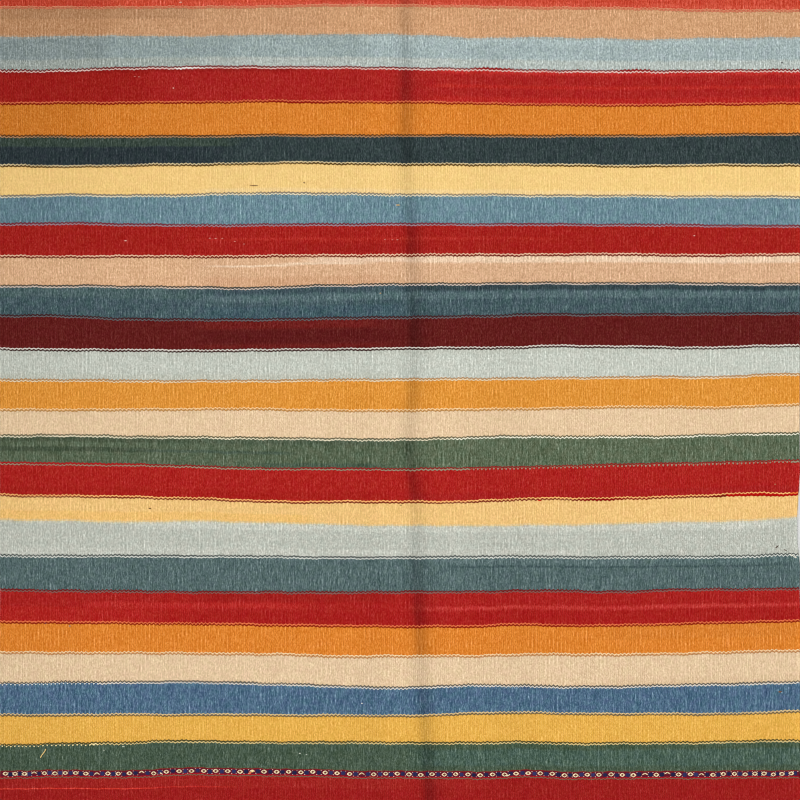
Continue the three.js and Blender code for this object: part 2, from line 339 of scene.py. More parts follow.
def lineDown(number, x):
    # How far down line number lies at x. Lines -1 and 26 are the two cut ends.
    if number < 0:
        return np.full_like(x, 0.0)
    if number >= len(stripeLines):
        return np.full_like(x, rug["length"])
    downs = np.array(stripeLines[number][1:], float) * mm
    course = smoothCurve(np.array(stationX) * mm, downs, x) + wander(number, x)
    for line, middle, reach, sag in lineBumps:
        if line == number:
            away = np.clip((x - middle * mm) / (reach * mm), -1, 1)
            course = course + sag * mm * (0.5 + 0.5 * np.cos(math.pi * away))
    return course


def slantedWaves(seed, lengths, x, down):
    # Sum of waves of the given lengths, each with a seeded slant and phase
    draw = np.random.default_rng(seed)
    total = np.zeros_like(x)
    for length in lengths:
        turn, phase = draw.uniform(0, math.pi), draw.uniform(0, 2 * math.pi)
        total = total + np.sin(2 * math.pi * (x * math.cos(turn) + down * math.sin(turn)) / length + phase)
    return total


def unevenLift(x, down):
    return rug["unevenness"] * 0.5 * slantedWaves(rug["seed"], rug["unevenLengths"], x, down)


def patches(x, down):
    # Smooth patches from -1 to 1, a few centimetres wide
    return np.clip(slantedWaves(rug["seed"] + 5, rug["patchLengths"], x, down) / 2, -1, 1)


def ribDrift(x, down):
    # How far the ribs lean to the side, nothing at the selvedges
    draw = np.random.default_rng(rug["seed"] + 6)
    total = np.zeros_like(x)
    for length, reach in rug["ribDrift"]:
        slant, phase = draw.uniform(0.15, 0.5), draw.uniform(0, 2 * math.pi)
        total = total + reach * np.sin(2 * math.pi * (x + slant * down) / length + phase)
    return total * np.clip((rug["halfWidth"] - rug["steadyEdge"] - np.abs(x)) / rug["steadyReach"], 0, 1)


def clothTop(x, down):
    # Height of the upper side without its ribs
    left, right = edgeDraw(down)
    inwards = np.minimum(x + rug["halfWidth"] - left, rug["halfWidth"] - right - x)
    return creaseLift(x, down) + np.interp(inwards, *tableColumns(selvedge)) + unevenLift(x, down)


# Ribs: the rib coordinate grows by one for each warp rib, from the left selvedge
selvedgeWidth = selvedge[-1][0] * mm
ribStart = -rug["halfWidth"] + selvedgeWidth
ribPitch = -2 * ribStart / rug["ribs"]


def ribAt(x):
    return (x - ribStart) / ribPitch


# Mesh making

def meshPiece(name, points, faces):
    mesh = bpy.data.meshes.new(name)
    mesh.from_pydata(np.asarray(points).tolist(), [], faces)
    mesh.polygons.foreach_set("use_smooth", np.ones(len(faces), bool))
    mesh.update()
    piece = bpy.data.objects.new(name, mesh)
    bpy.context.scene.collection.objects.link(piece)
    return piece


def addUV(piece, name, *values):
    # values: the two coordinates at each corner of each face
    layer = piece.data.uv_layers.new(name=name)
    layer.data.foreach_set("uv", np.stack(values, 1).astype(np.float32).ravel())


def addPointValues(piece, name, kind, field, values):
    layer = piece.data.attributes.new(name, kind, "POINT")
    layer.data.foreach_set(field, np.asarray(values, np.float32).ravel())


def cornerPoints(piece):
    corners = np.zeros(len(piece.data.loops), np.int32)
    piece.data.loops.foreach_get("vertex_index", corners)
    return corners


def quadStrip(grid, flip):
    a, b, c, d = grid[:-1, :-1], grid[1:, :-1], grid[1:, 1:], grid[:-1, 1:]
    return np.stack((a, d, c, b) if flip else (a, b, c, d), axis=-1).reshape(-1, 4)


def seamTriangles(lineA, lineB, xA, xB):
    # Triangles between two lines of points with different counts, both running towards +X
    a, b, triangles = 0, 0, []
    while a < len(lineA) - 1 or b < len(lineB) - 1:
        if b == len(lineB) - 1 or (a < len(lineA) - 1 and xA[a + 1] <= xB[b + 1]):
            triangles.append((lineA[a], lineA[a + 1], lineB[b]))
            a += 1
        else:
            triangles.append((lineA[a], lineB[b + 1], lineB[b]))
            b += 1
    return triangles


# The cloth: one closed sheet, with real ribs on its upper side

def clothRows():
    # Each row: the stripe below it, and its share of the way down that stripe, or None beside a cut end
    last = len(stripeYarns) - 1
    rows = [(0, 0.0), (0, None)]
    for stripe in range(last + 1):
        inside = rug["rowsInside"] - (1 if stripe == 0 else 0)
        if stripe:
            rows.append((stripe, 0.0))
        rows += [(stripe, (i + 1) / (inside + 1)) for i in range(inside)]
    return rows + [(last, None), (last, 1.0)]


def rowDown(row, x):
    stripe, share = row
    if share is None:
        return np.full_like(x, rug["endDepth"] if stripe == 0 else rug["length"] - rug["endDepth"])
    top, bottom = lineDown(stripe - 1, x), lineDown(stripe, x)
    return top + (bottom - top) * share


def clothColumns():
    # Base place of each column, its height, and its place on the rib from 0 to 1 (-1 off the ribs)
    draw = np.random.default_rng(rug["seed"] + 1)
    insides, heights = tableColumns(selvedge)
    shift = draw.normal(0, rug["ribShift"], rug["ribs"] + 1)[:-1]
    ribs, steps = np.arange(rug["ribs"])[:, None], np.arange(rug["ribColumns"]) / rug["ribColumns"]
    ribX = (ribStart + (ribs + steps) * ribPitch + shift[:, None]).ravel()
    left, right = -rug["halfWidth"] + insides[:-1], (rug["halfWidth"] - insides)[::-1]
    x = np.concatenate([left, ribX, right])
    height = np.concatenate([heights[:-1], np.full(len(ribX), rug["thickness"]), heights[::-1]])
    phase = np.concatenate([np.full(len(left), -1.0), np.tile(steps, rug["ribs"]), np.full(len(right), -1.0)])
    return x, height, phase


def clothUpperSide(rows, baseX, height, phase):
    # x, down and z of each point of the upper side, one line of points for each row
    draw = np.random.default_rng(rug["seed"] + 2)
    down = np.array([rowDown(row, baseX) for row in rows])
    onRib, onCrest = phase >= 0, phase > 0
    ribNumber = np.clip(np.floor(ribAt(baseX) + 1e-6), 0, rug["ribs"] - 1).astype(int)
    turn = np.where(ribNumber % 2 == 0, 1, -1)

    # Interlocking teeth where two yarns simply meet
    for i, (stripe, share) in enumerate(rows):
        if share == 0.0 and stripe and stripeLines[stripe - 1][0] == "plain":
            side = turn * draw.uniform(*rug["toothShares"], len(baseX))
            down[i] += np.where(onCrest, side * rug["saw"], 0)

    left, right = edgeDraw(down)
    inner = rug["halfWidth"] - selvedgeWidth
    nearLeft = np.clip(1 - (inner + baseX) / rug["drawInReach"], 0, 1)
    nearRight = np.clip(1 - (inner - baseX) / rug["drawInReach"], 0, 1)
    x = baseX + left * nearLeft - right * nearRight + ribDrift(np.broadcast_to(baseX, down.shape), down)
    crest = np.where(onCrest, rug["crest"], -rug["groove"]) * onRib
    perRib = draw.normal(1, rug["ribJitter"], rug["ribs"])[ribNumber]
    perRow = draw.normal(1, rug["ribJitter"], (len(rows), rug["ribs"]))[:, ribNumber]
    everyOther = turn * rug["ribTurns"] * patches(x, down)
    share = np.clip(perRib * perRow + np.where(onCrest, 2, 0) * everyOther, *rug["ribLimits"])
    z = creaseLift(x, down) + height + unevenLift(x, down) + crest * share
    z[[0, -1]] -= rug["thickness"] - rug["endHeight"]
    return x, down, z


def clothUnderside(rows, x, down):
    # The same for the underside: below the selvedges, two straight columns and those of the crease
    offsets = tableColumns(creaseSections)[0]
    stations = np.arange((len(offsets) - 1) * undersideSteps + 1) / undersideSteps
    steps = np.interp(stations, np.arange(len(offsets)), offsets)
    straight = np.full((len(rows), 1), rug["undersideX"])
    crease = creaseX(down[:, down.shape[1] // 2])[:, None] + steps
    belowX = np.concatenate([x[:, :1], -straight, crease, straight, x[:, -1:]], axis=1)
    belowDown = np.array([rowDown(row, belowX[i]) for i, row in enumerate(rows)])
    belowDown[:, [0, -1]] = down[:, [0, -1]]
    belowZ = creaseLift(belowX, belowDown)
    belowZ[:, [0, -1]] = 0
    return belowX, belowDown, belowZ


def makeCloth():
    rows = clothRows()
    baseX, height, phase = clothColumns()
    x, down, z = clothUpperSide(rows, baseX, height, phase)
    belowX, belowDown, belowZ = clothUnderside(rows, x, down)
    points = np.stack([
        np.concatenate([x.ravel(), belowX.ravel()]),
        rug["length"] / 2 - np.concatenate([down.ravel(), belowDown.ravel()]),
        np.concatenate([z.ravel(), belowZ.ravel()]),
    ], axis=1)

    # Faces: both sides, the two selvedges and the two cut ends, with the row of points above each face
    top = np.arange(x.size).reshape(x.shape)
    below = np.arange(belowX.size).reshape(belowX.shape) + x.size
    leftWall, rightWall = np.stack([below[:, 0], top[:, 0]], 1), np.stack([top[:, -1], below[:, -1]], 1)
    grids = [(top, False), (below, True), (leftWall, False), (rightWall, False)]
    quads = np.concatenate([quadStrip(grid, flip) for grid, flip in grids])
    upperEnd = [(a, c, b) for a, b, c in seamTriangles(top[0], below[0], x[0], belowX[0])]
    lowerEnd = seamTriangles(top[-1], below[-1], x[-1], belowX[-1])
    cloth = meshPiece("clothStripes", points, quads.tolist() + upperEnd + lowerEnd)
    rowOfFace = np.concatenate([
        *(np.repeat(np.arange(len(rows) - 1), grid.shape[1] - 1) for grid, flip in grids),
        np.zeros(len(upperEnd), int), np.full(len(lowerEnd), len(rows) - 2),
    ])
    stripeOf = np.array([stripe for stripe, share in rows[:-1]])
    cloth.data.polygons.foreach_set("material_index", stripeOf[rowOfFace].astype(np.int32))

    # Maps: weave (ribs across, stitches down), stripePlace (x, share of the stripe) and the layout to paint
    corners = cornerPoints(cloth)
    cornersOfFace = np.where(np.arange(len(rowOfFace)) < len(quads), 4, 3)
    faceRow = np.repeat(rowOfFace, cornersOfFace)
    cornerX = np.concatenate([np.tile(baseX, len(rows)), belowX.ravel()])[corners]
    rowOfPoint = np.concatenate([np.indices(grid.shape)[0].ravel() for grid in (top, below)])
    nearEnd = rug["endShare"]
    shareTop = np.array([(nearEnd if stripe == 0 else 1 - nearEnd) if share is None else share
                         for stripe, share in rows])
    shareBottom = np.where(np.append(stripeOf[1:], stripeOf[-1]) == stripeOf, shareTop[1:], 1.0)
    share = np.where(rowOfPoint[corners] > faceRow, shareBottom[faceRow], shareTop[faceRow])
    stitches = np.array([
        round(float(np.mean(lineDown(stripe, baseX) - lineDown(stripe - 1, baseX))) / rug["stitch"])
        for stripe in range(len(stripeYarns))
    ])
    starts = np.concatenate([[0], np.cumsum(stitches)[:-1]])
    stripe = stripeOf[faceRow]
    addUV(cloth, "weave", ribAt(cornerX), starts[stripe] + share * stitches[stripe])
    addUV(cloth, "stripePlace", cornerX, share)
    firstCorner = np.cumsum(cornersOfFace) - cornersOfFace
    allBelow = (np.minimum.reduceat(corners, firstCorner) >= x.size) & (cornersOfFace == 4)
    isBelow = np.repeat(allBelow, cornersOfFace)
    along = 0.5 + points[corners, 1] / rug["length"]
    layout = np.where(isBelow, 0.82 + 0.16 * along, 0.8 * along)  # upper side, then a strip for the underside
    addUV(cloth, "OFBake", 0.5 + cornerX / (2 * rug["halfWidth"]), layout)
    offset = points[:, 0] - creaseX(rug["length"] / 2 - points[:, 1])
    addPointValues(cloth, "creaseOffset", "FLOAT", "value", offset)
    return cloth


# Wavy lines: two picks of the coming yarn, then two picks of the last one, beaten up between two stripes

wavyLine = {
    "stationsPerRib": 2,
    "halfWidth": 0.78 * mm,
    "halfHeight": 0.5 * mm,
    "rise": 0.08 * mm,  # middle of the yarn above the cloth
    "apart": 0.95 * mm,  # of each line's middle from where the stripes meet
    "wave": 0.72 * mm,  # swing to each side, over two ribs
    "waveShares": (0.6, 0.6, 52 * mm),  # least share of it, how much more, and over what length that changes
    "widthShares": (0.8, 0.4, 28 * mm),
    "overRib": 0.12 * mm,
    "duck": 0.6 * mm,  # how far every other stitch dives where a line shows as dots
    "sides": 6,
    "endGap": 0.9 * mm,  # from the rug's widest part to the yarn's ends
    "inset": 0.7 * mm,  # least distance of the yarn from a drawn-in selvedge
}

# How strongly a pair of lines swings, where that isn't 1
lineWaves = {0: 0.6, 2: 1.15, 9: 0.8, 11: 0.8, 12: 0.9, 18: 1.2, 22: 1.25}

# Colours of the upper and the lower line below each stripe, where there are wavy lines
lineShades = {
    0: ((224, 142, 108), (214, 126, 94)), 2: ((125, 40, 40), (238, 200, 190)),
    3: ((225, 115, 75), (145, 30, 8)), 4: ((95, 62, 36), (178, 136, 100)),
    5: ((218, 196, 152), (84, 60, 24)), 6: ((140, 130, 114), (232, 220, 190)),
    7: ((130, 45, 55), (162, 134, 144)), 8: ((236, 192, 160), (110, 28, 20)),
    9: ((80, 78, 70), (204, 188, 176)), 10: ((72, 40, 42), (104, 100, 102)),
    11: ((220, 212, 202), (62, 34, 32)), 12: ((185, 140, 96), (232, 212, 176)),
    13: ((246, 206, 150), (188, 136, 74)), 14: ((100, 98, 76), (232, 222, 192)),
    15: ((150, 38, 38), (156, 140, 118)), 16: ((250, 190, 116), (122, 32, 10)),
    18: ((80, 86, 84), (214, 216, 208)), 19: ((125, 32, 30), (136, 92, 86)),
    20: ((230, 116, 72), (145, 32, 14)), 21: ((242, 212, 164), (190, 134, 84)),
    22: ((92, 90, 84), (224, 216, 204)), 23: ((222, 192, 138), (110, 98, 76)),
    24: ((72, 72, 44), (212, 190, 132)),
}

# Stretches in another colour: line, upper (0) or lower (1), ends in mm, colour
lineTints = [
    (2, 0, 86, 138, (142, 22, 22)), (2, 0, 258, 306, (142, 22, 22)), (2, 1, -272, -222, (252, 244, 236)),
    (16, 1, 392, 480, (176, 24, 12)), (16, 0, 468, 480, (240, 130, 60)), (24, 1, -480, -362, (252, 230, 168)),
    (22, 1, -480, -362, (250, 246, 236)), (15, 0, -480, -300, (174, 34, 34)),
    (16, 1, 216, 300, (140, 16, 10)), (14, 1, 60, 480, (240, 236, 214)),
]

# Picks that swell to a thick spindle: line number, upper or lower, middle and half length in mm, factor
thickPicks = [
    (2, 0, 112, 24, 1.9), (2, 0, 282, 22, 1.9), (2, 1, -254, 18, 1.5), (3, 1, -96, 60, 1.3),
    (11, 1, 296, 20, 1.7), (16, 1, 430, 58, 2.9), (16, 1, 236, 32, 1.9), (22, 0, -188, 20, 1.8),
    (15, 0, -400, 120, 1.6), (15, 1, 277, 300, 1.7),
]

# Stretches where every other stitch of a line is sunk, so that it shows as a row of dots: line number, upper
# or lower, ends in mm
dottedPicks = [(15, 1, 84, 470), (22, 1, -480, -362), (24, 1, -480, -372)]


def slowShares(x, seed, least, more, length):
    # Smooth seeded shares along x
    draw = np.random.default_rng(seed)
    places = np.arange(-0.6, 0.6 + length, length)  # beyond both selvedges
    return least + more * smoothCurve(places, draw.uniform(0, 1, len(places)), x)


def toLinear(colour):
    share = np.asarray(colour, float) / 255
    return np.where(share <= 0.04045, share / 12.92, ((share + 0.055) / 1.055) ** 2.4)


def dyeRows(colours):
    # Surface colours that look like the given ones under this light
    dyes = np.clip(toLinear(colours) - wool["veil"], 0.001, 1)
    return np.concatenate([dyes, np.ones((len(dyes), 1))], axis=1)


def dyeOf(colour):
    return tuple(dyeRows([colour])[0])


def lineStations():
    count = int(round(2 * rug["halfWidth"] / ribPitch * wavyLine["stationsPerRib"])) + 8
    x = ribStart + (np.arange(count) / wavyLine["stationsPerRib"] - 3) * ribPitch
    return x[np.abs(x) < rug["halfWidth"] - wavyLine["endGap"]]


def layYarn(x, downs, halfWidth, halfHeight, rise, colour):
    # One yarn along x on the cloth, kept inside the selvedges
    left, right = edgeDraw(downs)
    reach = rug["halfWidth"] - wavyLine["inset"]
    fitted = np.clip(x, left - reach, reach - right)
    return {
        "x": fitted + np.arange(len(x)) * 1e-7,  # so that no two rings are in one place
        "downs": downs, "middle": clothTop(fitted, downs) + rise,
        "halfWidth": np.broadcast_to(halfWidth, x.shape), "halfHeight": halfHeight, "colour": colour,
    }


def ownRows(rows, *place):
    # The rows of a table that are about one line, without the columns that say so
    return [row[2:] for row in rows if row[:2] == place]


def wavyTubes(number):
    tubes = []
    x = lineStations()
    zigzag, onRib = np.cos(math.pi * (ribAt(x) - 0.5)), np.cos(2 * math.pi * ribAt(x))
    for place, side in ((0, -1), (1, 1)):
        seed = rug["seed"] * 1000 + number * 10 + place
        swing = wavyLine["wave"] * lineWaves.get(number, 1) * slowShares(x, seed, *wavyLine["waveShares"])
        width = wavyLine["halfWidth"] * slowShares(x, seed + 3, *wavyLine["widthShares"])
        for centre, half, factor in ownRows(thickPicks, number, place):
            width = width * (1 + (factor - 1) * np.clip(1 - ((x - centre * mm) / (half * mm)) ** 2, 0, 1))
        sunken = np.zeros(len(x), bool)
        for left, right in ownRows(dottedPicks, number, place):
            sunken = sunken | (x > left * mm) & (x < right * mm) & (zigzag < 0.5)
        colours = np.tile(np.array(lineShades[number][place], float), (len(x), 1))
        for left, right, shade in ownRows(lineTints, number, place):
            colours[(x > left * mm) & (x < right * mm)] = shade
        downs = lineDown(number, x) + side * wavyLine["apart"] + swing * zigzag
        rise = wavyLine["rise"] - wavyLine["duck"] * sunken - wavyLine["overRib"] * onRib
        tubes.append(layYarn(x + ribDrift(x, downs), downs, width, wavyLine["halfHeight"], rise, colours))
    return tubes


def yarnTube(tube):
    # Flattened tube along x: rings of points, then quads and the two end caps
    sides = wavyLine["sides"]
    turn = np.arange(sides) * 2 * math.pi / sides + math.pi / sides
    ringX = np.repeat(tube["x"][:, None], sides, axis=1)
    ringDown = tube["downs"][:, None] + tube["halfWidth"][:, None] * np.cos(turn)
    ringZ = tube["middle"][:, None] + tube["halfHeight"] * np.sin(turn)
    points = np.stack([ringX, rug["length"] / 2 - ringDown, ringZ], axis=-1).reshape(-1, 3)
    grid = np.arange(len(points)).reshape(-1, sides)
    nextSide = np.roll(grid, -1, axis=1)
    quads = np.stack([grid[:-1], grid[1:], nextSide[1:], nextSide[:-1]], axis=-1).reshape(-1, 4)
    caps = [grid[0].tolist(), grid[-1, ::-1].tolist()]
    shades = np.broadcast_to(np.asarray(tube["colour"], float), (len(tube["x"]), 3))
    return points, quads.tolist() + caps, np.repeat(shades, sides, axis=0)


def yarnPiece(name, bits):
    # One piece from many bits of yarn, each with its points, faces and colours. Also gives all the points, and
    # the point and the bit at each corner of each face.
    sizes = [len(points) for points, faces, colours in bits]
    starts = (np.cumsum(sizes) - sizes).tolist()
    points, colours = np.concatenate([bit[0] for bit in bits]), np.concatenate([bit[2] for bit in bits])
    faces = [[corner + start for corner in face] for bit, start in zip(bits, starts) for face in bit[1]]
    piece = meshPiece(name, points, faces)
    addPointValues(piece, "yarnColour", "FLOAT_COLOR", "color", dyeRows(colours))
    corners = cornerPoints(piece)
    return piece, points, corners, np.repeat(np.arange(len(bits)), sizes)[corners]


def makeTubes(name, tubes):
    # Maps: weave, and one strip of the layout to paint for each tube
    piece, points, corners, number = yarnPiece(name, [yarnTube(tube) for tube in tubes])
    x, across = points[corners, 0], corners % wavyLine["sides"] / wavyLine["sides"]
    addUV(piece, "weave", ribAt(x), across)
    layout = (number + 0.05 + 0.9 * across) / len(tubes)  # a narrow gap between the strips
    addUV(piece, "OFBake", 0.5 + x / (2 * rug["halfWidth"] + 2 * mm), layout)
    return piece


# The chain of small diamonds: a low band of red picks with stitches of cream and navy over it

chain = {
    "line": 25,
    "pitches": [  # x and pitch, in mm
        (-480, 11.6), (-340, 13.2), (-315, 14.8), (120, 14.1), (336, 13.8), (400, 12.6), (430, 10.8),
        (480, 10.6),
    ],
    "ends": (-473 * mm, 474 * mm),
    "diamondSize": (6.3 * mm, 4.2 * mm),
    "navySize": (6.7 * mm, 5.6 * mm),
    "navyHeight": 0.42 * mm,
    "navyRoundness": 3.2,  # squarer than the other stitches
    "rise": {"core": 0.15 * mm, "cream": 0.3 * mm, "navy": 0.1 * mm, "corner": 0.3 * mm, "blob": 0.35 * mm},
    "coreHalf": (0.9 * mm, 0.8 * mm),
    "cornerHalf": (0.75 * mm, 0.5 * mm),
    "cornerAt": (2.7 * mm, 2.35 * mm),  # from the middle of a navy stitch
    "stitchWidth": 1.45 * mm,
    "stitchHeight": 0.5 * mm,
    "reach": 0.60,  # half length of a cream stitch, as a share of the diamond's side
    "missing": 0.1,  # chance that the lower half of a diamond is left out
    "cornerChance": 0.75,
    "cream": (244, 222, 182),
    "navy": (46, 47, 82),
    "core": (112, 66, 44),
    "corner": (226, 196, 184),
    "picks": [  # red picks from the upper side to the lower: mm below the middle, half width, colour
        (-3.5, 0.60, (128, 36, 36)), (-2.3, 0.85, (100, 28, 46)), (-1.1, 0.85, (100, 28, 46)),
        (0.1, 0.85, (100, 28, 46)), (1.3, 0.85, (100, 28, 46)), (2.4, 0.85, (100, 28, 46)),
        (3.6, 0.80, (172, 30, 38)),
    ],
    "pickForm": (0.32 * mm, 0.05 * mm),  # half height, and rise above the cloth
    "greenLine": {  # form: half width, half height, rise and colour
        "down": 4.9 * mm, "wave": 0.5 * mm, "form": (0.6 * mm, 0.42 * mm, 0.1 * mm, (118, 104, 82)),
    },
    "blobs": [  # x and distance below the middle in mm, half length, half width, turn, colour
        (-180, 1.8, 2.2, 1.1, 0.4, (236, 120, 84)), (-176.5, -0.6, 2.0, 1.3, 0.5, (244, 216, 150)),
        (-286.5, 1.8, 1.8, 0.8, -0.4, (244, 224, 180)), (128.5, 1.8, 2.0, 0.7, 0.1, (248, 236, 196)),
        (131, 1.2, 1.4, 0.6, 0.6, (248, 236, 196)),
    ],
}


def chainTubes():
    # The picks under and around the diamonds, then the green line below them
    x = lineStations()
    middle = lineDown(chain["line"], x)
    tubes = [
        layYarn(x, middle + offset * mm, half * mm, *chain["pickForm"], colour)
        for offset, half, colour in chain["picks"]
    ]
    green = chain["greenLine"]
    zigzag = green["wave"] * np.cos(math.pi * (ribAt(x) - 0.5))
    return tubes + [layYarn(x, middle + green["down"] + zigzag, *green["form"])]


def stitchMesh(half, roundness):
    # One stitch or fleck of wool: a flattened rounded pad. half: half length, half width, half height.
    rings, segments, underside = 3, 10, -0.6
    angle = 2 * math.pi * np.arange(segments) / segments
    out = (np.abs(np.cos(angle)) ** roundness + np.abs(np.sin(angle)) ** roundness) ** (-1 / roundness)
    levels = np.arange(1, rings + 1) / rings * math.pi / 2
    points = [(0, 0, 1)]
    for reach, height in [*zip(np.sin(levels), np.cos(levels)), (1, underside)]:
        points += zip(reach * out * np.cos(angle), reach * out * np.sin(angle), [height] * segments)
    points.append((0, 0, underside))
    last = 1 + rings * segments
    around = [(i, (i + 1) % segments) for i in range(segments)]
    faces = [(0, 1 + i, 1 + j) for i, j in around]
    for first in range(1, last, segments):
        faces += [(first + i, first + segments + i, first + segments + j, first + j) for i, j in around]
    faces += [(len(points) - 1, last + j, last + i) for i, j in around]
    return np.array(points) * half, faces


def padStitch(x, down, half, turn, colour, rise, roundness=2.0):
    # One stitch laid on the cloth: its place along the yarn at each point, then its points, faces and colours
    top = float(clothTop(np.array([x]), np.array([down]))[0])
    flat, faces = stitchMesh(half, roundness)
    spin = [(math.cos(turn), math.sin(turn), 0), (-math.sin(turn), math.cos(turn), 0), (0, 0, 1)]
    points = flat @ np.array(spin) + (x, rug["length"] / 2 - down, top + rise)
    return flat[:, 0], (points, faces, np.tile(np.asarray(colour, float), (len(flat), 1)))


def makeStitches(name, stitches):
    piece, points, corners, number = yarnPiece(name, [bit for along, bit in stitches])
    along = np.concatenate([along for along, bit in stitches])[corners]
    addUV(piece, "weave", along / ribPitch, points[corners, 2] / mm)
    return piece


def chainStitches():
    draw = np.random.default_rng(rug["seed"] + 11)
    places, pitches = tableColumns(chain["pitches"])
    corners = ((-1, -1), (1, -1), (1, 1), (-1, 1))
    high, rise = chain["stitchHeight"], chain["rise"]
    stitches = []

    def middleDown(x, spread):
        return float(lineDown(chain["line"], np.array([x]))[0]) + draw.normal(0, spread) * mm

    x, last = chain["ends"]
    while x < last:
        pitch = float(np.interp(x, places, pitches)) * draw.uniform(0.95, 1.05)
        wide, tall = (size / 2 * draw.uniform(0.92, 1.06) for size in chain["diamondSize"])
        middle, slope = middleDown(x, 0.25), math.atan2(tall, wide)
        half = math.hypot(wide, tall) * chain["reach"]
        missing = draw.uniform() < chain["missing"]
        stitches.append(padStitch(x, middle, (*chain["coreHalf"], high), 0, chain["core"], rise["core"]))
        for sideX, sideY in corners:
            if missing and sideY == -1:
                continue
            tilt = -slope if sideX * sideY > 0 else slope
            shade = np.array(chain["cream"]) * draw.uniform(0.86, 1.03)
            size = (half, chain["stitchWidth"] / 2 * draw.uniform(0.85, 1.15), high)
            at = (x + sideX * wide / 2, middle - sideY * tall / 2)
            stitches.append(padStitch(*at, size, tilt, shade, rise["cream"]))
        navyX = x + pitch / 2
        if navyX < last + 2 * mm:
            navyHalf = [size / 2 * draw.uniform(0.85, 1.08) for size in chain["navySize"]]
            shade = np.array(chain["navy"]) * draw.uniform(0.8, 1.2)
            down = middleDown(navyX, 0.15)
            size = (*navyHalf, chain["navyHeight"])
            stitches.append(padStitch(navyX, down, size, 0, shade, rise["navy"], chain["navyRoundness"]))
            acrossBy, downBy = chain["cornerAt"]
            for sideX, sideY in corners:
                if draw.uniform() < chain["cornerChance"]:
                    shade = np.array(chain["corner"]) * draw.uniform(0.8, 1.05)
                    at = (navyX + sideX * acrossBy, down + sideY * downBy)
                    stitches.append(padStitch(*at, (*chain["cornerHalf"], high), 0, shade, rise["corner"]))
        x += pitch
    for blobX, below, length, width, turn, colour in chain["blobs"]:
        at = (blobX * mm, middleDown(blobX * mm, 0) + below * mm)
        stitches.append(padStitch(*at, (length * mm, width * mm, high), turn, colour, rise["blob"]))
    return stitches


# Flecks, slubs and loose threads in the wool: x and down in mm, half length, half width, turn, colour
flecks = [
    (-329, 315, 1.6, 0.6, 0, (236, 200, 190)), (-3, 314, 1.3, 0.5, 0, (226, 150, 136)),
    (353, 309, 1.2, 0.6, 0, (226, 180, 170)), (-2.4, 272.4, 2.7, 0.6, 0, (232, 186, 110)),
    (450, 607, 1.1, 0.6, 0, (196, 120, 92)), (-300, 636, 1.6, 0.7, 0, (120, 84, 50)),
    (1, 632, 1.3, 0.6, 0, (130, 90, 56)), (452, 682, 2.6, 0.7, 0.7, (90, 74, 66)),
    (462, 686, 2.0, 0.6, -0.4, (96, 80, 72)), (-425, 773.6, 1.4, 0.7, 0, (70, 96, 120)),
    (-396, 777, 1.4, 0.7, 0, (150, 140, 130)), (-45.6, 869.6, 1.2, 0.7, 0, (214, 216, 214)),
    (456, 856, 2.4, 0.9, 0, (120, 84, 56)), (458, 857, 0.8, 0.7, 0, (150, 190, 214)),
    (-120, 929.6, 1.2, 0.7, 0, (206, 212, 196)), (-112, 931, 0.9, 0.6, 0, (200, 206, 190)),
    (458, 101.6, 1.5, 0.7, 0, (84, 84, 82)), (-175, 249, 5.5, 0.55, 0, (120, 92, 60)),
    (-115, 245.6, 1.1, 0.7, 0, (120, 90, 60)), (-271.6, 132, 1.0, 0.8, 0, (232, 180, 170)),
    (-9, 314, 1.1, 0.5, 0, (220, 136, 122)), (-18, 313.4, 1.2, 0.5, 0, (218, 130, 118)),
    (-228, 312, 1.4, 0.5, 0, (224, 150, 138)), (-221, 312.4, 1.4, 0.5, 0, (226, 156, 142)),
    (-213, 312.2, 1.2, 0.5, 0, (220, 140, 128)), (-198, 315.8, 1.2, 0.5, 0, (222, 150, 138)),
    (-187, 319, 1.1, 0.5, 0, (214, 130, 120)), (-23.4, 378, 1.2, 0.7, 0, (176, 150, 108)),
    (-263, 29, 1.8, 0.6, 0, (242, 196, 180)), (-318, 118, 1.2, 0.5, 0, (214, 140, 130)),
    (-313, 118.5, 1.2, 0.5, 0, (214, 140, 130)), (-367, 919, 1.8, 1.4, 0, (226, 210, 160)),
    (-331.6, 921.5, 1.8, 0.6, 0, (186, 194, 172)), (-355, 926, 1.2, 0.5, 0, (176, 186, 166)),
    (167.6, 626.3, 2.4, 1.1, 0, (206, 50, 24)), (470, 692, 2.6, 0.8, -0.5, (236, 232, 214)),
    (474, 694.5, 2.4, 0.7, -0.3, (228, 226, 210)),
]

fleckForm = {"height": 0.45 * mm, "rise": 0.05 * mm}

# Loose straw thread over the forest stripe: x and down in mm along it
looseThread = {
    "path": [(-431, 935), (-429.6, 932), (-427.4, 929.5), (-425.8, 927), (-424.6, 924.5)],
    "thickness": 1.35 * mm,
    "rise": 0.25 * mm,
    "overlap": 0.62,  # half length of a stitch, as a share of one step of the path
    "colour": (236, 204, 136),
}


def fleckStitches():
    height, rise = fleckForm["height"], fleckForm["rise"]
    made = [
        padStitch(x * mm, down * mm, (length * mm, width * mm, height), turn, colour, rise)
        for x, down, length, width, turn, colour in flecks
    ]
    half = looseThread["thickness"] / 2
    for (x0, down0), (x1, down1) in zip(looseThread["path"][:-1], looseThread["path"][1:]):
        reach = math.hypot(x1 - x0, down1 - down0) * mm * looseThread["overlap"]
        at, turn = ((x0 + x1) / 2 * mm, (down0 + down1) / 2 * mm), math.atan2(down0 - down1, x1 - x0)
        made.append(padStitch(*at, (reach, half, half), turn, looseThread["colour"], looseThread["rise"]))
    return made


# Shader node groups

def feed(sockets, values):
    # Gives each named socket its value: a link from another socket, or a constant of its own
    for label, value in values.items():
        if isinstance(value, bpy.types.NodeSocket):
            value.id_data.links.new(value, sockets[label])
        else:
            sockets[label].default_value = value


